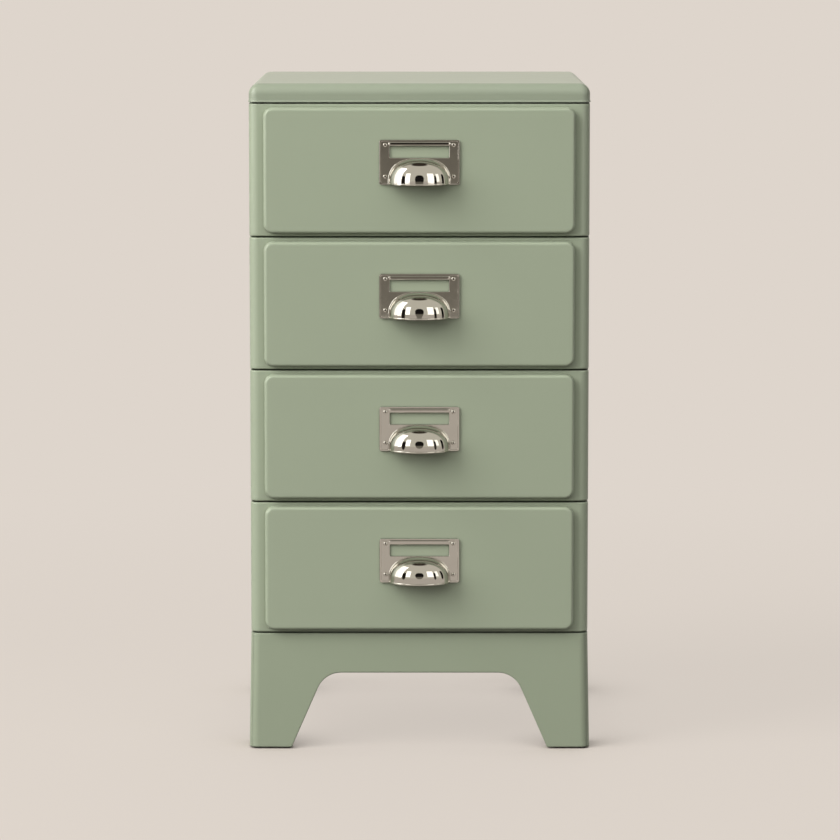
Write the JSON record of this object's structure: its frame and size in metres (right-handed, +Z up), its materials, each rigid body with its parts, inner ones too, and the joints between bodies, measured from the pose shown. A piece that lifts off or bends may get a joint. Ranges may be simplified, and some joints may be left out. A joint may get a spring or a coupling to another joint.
{
  "type": "metal drawer cabinet",
  "caption": "Narrow painted steel drawer cabinet with pressed full-width drawer fronts, label-holder cup pulls and a footed base.",
  "frame": {"origin": "on the floor under the middle of the whole object, pulls included", "axes": "+Z up, +Y to the back, +X to the right seen from the front"},
  "size_m": [0.3444, 0.3802, 0.6715],
  "materials": {
    "base_paint": "satin powder coat",
    "black_nylon": "matt",
    "body_paint": "satin powder coat",
    "cap_paint": "satin powder coat",
    "front_paint": "satin powder coat",
    "grey_rubber": "matt",
    "inner_paint": "satin powder coat",
    "polished_nickel": "polished nickel",
    "zinc_steel": "zinc plated"
  },
  "bodies": {
    "cabinet": {"back_panel": "body_paint", "back_rivets": "inner_paint", "base_bolts": "zinc_steel", "base_corner_plates": "inner_paint", "base_nuts": "zinc_steel", "base_panel_back": "base_paint", "base_panel_front": "base_paint", "base_panel_left": "base_paint", "base_panel_right": "base_paint", "bottom_pan": "inner_paint", "cap_screws": "zinc_steel", "cap_stiffeners": "inner_paint", "cross_rails": "inner_paint", "drawer_1_runner_left": "zinc_steel", "drawer_1_runner_right": "zinc_steel", "drawer_2_runner_left": "zinc_steel", "drawer_2_runner_right": "zinc_steel", "drawer_3_runner_left": "zinc_steel", "drawer_3_runner_right": "zinc_steel", "drawer_4_runner_left": "zinc_steel", "drawer_4_runner_right": "zinc_steel", "drawer_buffers": "grey_rubber", "foot_glides": "black_nylon", "front_post_left": "inner_paint", "front_post_right": "inner_paint", "rear_post_left": "inner_paint", "rear_post_right": "inner_paint", "side_panel_left": "body_paint", "side_panel_right": "body_paint", "top_cap": "cap_paint", "top_pan": "inner_paint"},
    "drawer_1": {"drawer_1_front": "front_paint", "drawer_1_inner_panel": "inner_paint", "drawer_1_pull": "polished_nickel", "drawer_1_pull_nuts": "zinc_steel", "drawer_1_pull_screws": "polished_nickel", "drawer_1_rails": "zinc_steel", "drawer_1_tray": "inner_paint"},
    "drawer_2": {"drawer_2_front": "front_paint", "drawer_2_inner_panel": "inner_paint", "drawer_2_pull": "polished_nickel", "drawer_2_pull_nuts": "zinc_steel", "drawer_2_pull_screws": "polished_nickel", "drawer_2_rails": "zinc_steel", "drawer_2_tray": "inner_paint"},
    "drawer_3": {"drawer_3_front": "front_paint", "drawer_3_inner_panel": "inner_paint", "drawer_3_pull": "polished_nickel", "drawer_3_pull_nuts": "zinc_steel", "drawer_3_pull_screws": "polished_nickel", "drawer_3_rails": "zinc_steel", "drawer_3_tray": "inner_paint"},
    "drawer_4": {"drawer_4_front": "front_paint", "drawer_4_inner_panel": "inner_paint", "drawer_4_pull": "polished_nickel", "drawer_4_pull_nuts": "zinc_steel", "drawer_4_pull_screws": "polished_nickel", "drawer_4_rails": "zinc_steel", "drawer_4_tray": "inner_paint"}
  },
  "joints": [
    {"name": "drawer_1_slide", "type": "slide", "parent": "cabinet", "child": "drawer_1", "axis": [0, -1, 0], "range_m": [0, 0.238]},
    {"name": "drawer_2_slide", "type": "slide", "parent": "cabinet", "child": "drawer_2", "axis": [0, -1, 0], "range_m": [0, 0.238]},
    {"name": "drawer_3_slide", "type": "slide", "parent": "cabinet", "child": "drawer_3", "axis": [0, -1, 0], "range_m": [0, 0.238]},
    {"name": "drawer_4_slide", "type": "slide", "parent": "cabinet", "child": "drawer_4", "axis": [0, -1, 0], "range_m": [0, 0.238]}
  ]
}
